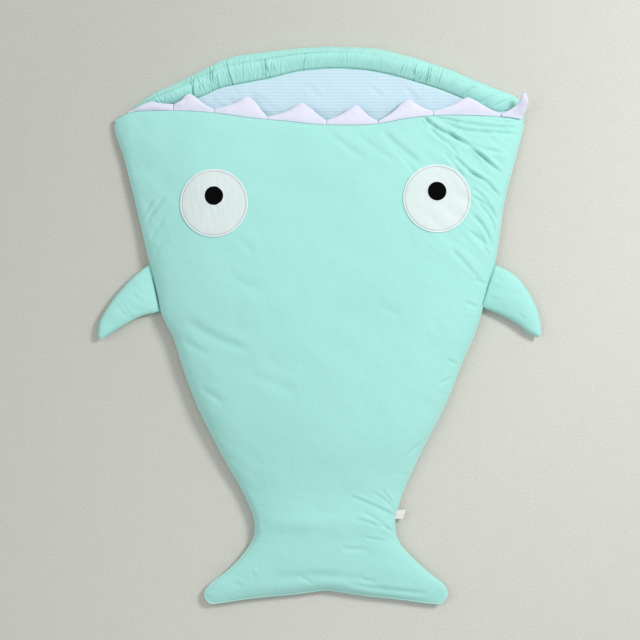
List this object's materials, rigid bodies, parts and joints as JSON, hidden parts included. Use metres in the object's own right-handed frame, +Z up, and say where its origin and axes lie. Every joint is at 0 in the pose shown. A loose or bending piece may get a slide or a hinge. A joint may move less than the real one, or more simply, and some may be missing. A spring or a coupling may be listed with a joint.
{
  "type": "padded shark sleeping bag",
  "caption": "Padded baby sleeping bag shaped like a shark, with a toothed mouth for the opening, a gathered hood rim, side fins, a tail and a striped lining",
  "frame": {"origin": "centre of the bounding box in x and y, on the floor under the bag's back", "axes": "+Z up out of the bag's front, +Y from the tail to the hood, +X to the right in a view from above with the hood at the top"},
  "size_m": [0.753, 0.95, 0.0617],
  "materials": {
    "mint_cotton": "plain-woven cotton, matt",
    "striped_cotton": "plain-woven cotton with fine paler stripes across, matt",
    "white_cotton": "soft white cotton, matt",
    "eye_cotton": "pale cotton, stitched round its edge, matt",
    "black_felt": "black felt, matt",
    "polyester_wadding": "loose white polyester wadding",
    "label_tape": "plain woven tape, blank"
  },
  "bodies": {
    "trunk": {"front_shell": "mint_cotton", "front_wadding": "polyester_wadding", "front_lining": "striped_cotton", "back_shell": "mint_cotton", "back_wadding": "polyester_wadding", "back_lining": "striped_cotton", "eye_white_left": "eye_cotton", "eye_white_right": "eye_cotton", "pupil_left": "black_felt", "pupil_right": "black_felt", "rim_filling_left": "polyester_wadding", "rim_casing_left": "mint_cotton", "rim_filling_right": "polyester_wadding", "rim_casing_right": "mint_cotton", "care_label": "label_tape"},
    "hood": {"hood_shell": "mint_cotton", "hood_wadding": "polyester_wadding", "hood_lining": "striped_cotton", "rim_filling": "polyester_wadding", "rim_casing": "mint_cotton"},
    "tail": {"tail_back_shell": "mint_cotton", "tail_wadding": "polyester_wadding", "tail_front_shell": "mint_cotton"},
    "fin_left": {"fin_left_upper": "mint_cotton", "fin_left_filling": "polyester_wadding", "fin_left_lower": "mint_cotton"},
    "fin_right": {"fin_right_upper": "mint_cotton", "fin_right_filling": "polyester_wadding", "fin_right_lower": "mint_cotton"},
    "tooth_1_flap": {"tooth_1": "white_cotton"},
    "tooth_2_flap": {"tooth_2": "white_cotton"},
    "tooth_3_flap": {"tooth_3": "white_cotton"},
    "tooth_4_flap": {"tooth_4": "white_cotton"},
    "tooth_5_flap": {"tooth_5": "white_cotton"},
    "tooth_6_flap": {"tooth_6": "white_cotton"},
    "tooth_7_flap": {"tooth_7": "white_cotton"},
    "tooth_8_flap": {"tooth_8": "white_cotton"}
  },
  "joints": [
    {"name": "hood_fold", "type": "hinge", "parent": "trunk", "child": "hood", "pos_m": [0, 0.3975, 0.024], "axis": [1, 0, 0], "range_deg": [0, 100]},
    {"name": "tail_fold", "type": "hinge", "parent": "trunk", "child": "tail", "pos_m": [0, -0.3385, 0.0376], "axis": [-1, 0, 0], "range_deg": [0, 110]},
    {"name": "fin_left_fold", "type": "hinge", "parent": "trunk", "child": "fin_left", "pos_m": [-0.2812, 0.063, 0.012], "axis": [-0.3021, 0.9533, 0], "range_deg": [-60, 80]},
    {"name": "fin_right_fold", "type": "hinge", "parent": "trunk", "child": "fin_right", "pos_m": [0.2812, 0.063, 0.012], "axis": [-0.3021, -0.9533, 0], "range_deg": [-60, 80]},
    {"name": "tooth_1_fold", "type": "hinge", "parent": "trunk", "child": "tooth_1_flap", "pos_m": [-0.301, 0.35839, 0.02491], "axis": [0.9878, -0.0048, 0.1556], "range_deg": [0, 130]},
    {"name": "tooth_2_fold", "type": "hinge", "parent": "trunk", "child": "tooth_2_flap", "pos_m": [-0.2198, 0.35715, 0.03162], "axis": [0.9974, -0.038, 0.0605], "range_deg": [0, 130]},
    {"name": "tooth_3_fold", "type": "hinge", "parent": "trunk", "child": "tooth_3_flap", "pos_m": [-0.13305, 0.35026, 0.035], "axis": [0.992, -0.1241, 0.0249], "range_deg": [0, 130]},
    {"name": "tooth_4_fold", "type": "hinge", "parent": "trunk", "child": "tooth_4_flap", "pos_m": [-0.03795, 0.33934, 0.03643], "axis": [0.9964, -0.0844, 0.0069], "range_deg": [0, 130]},
    {"name": "tooth_5_fold", "type": "hinge", "parent": "trunk", "child": "tooth_5_flap", "pos_m": [0.0558, 0.34028, 0.03631], "axis": [0.9932, 0.1163, -0.01], "range_deg": [0, 130]},
    {"name": "tooth_6_fold", "type": "hinge", "parent": "trunk", "child": "tooth_6_flap", "pos_m": [0.1466, 0.35191, 0.0346], "axis": [0.9934, 0.1111, -0.0282], "range_deg": [0, 130]},
    {"name": "tooth_7_fold", "type": "hinge", "parent": "trunk", "child": "tooth_7_flap", "pos_m": [0.25145, 0.35796, 0.02947], "axis": [0.9963, 0.0212, -0.0833], "range_deg": [0, 130]},
    {"name": "tooth_8_fold", "type": "hinge", "parent": "trunk", "child": "tooth_8_flap", "pos_m": [0.3273, 0.35846, 0.02119], "axis": [0.9476, 0.0016, -0.3194], "range_deg": [0, 100]}
  ]
}
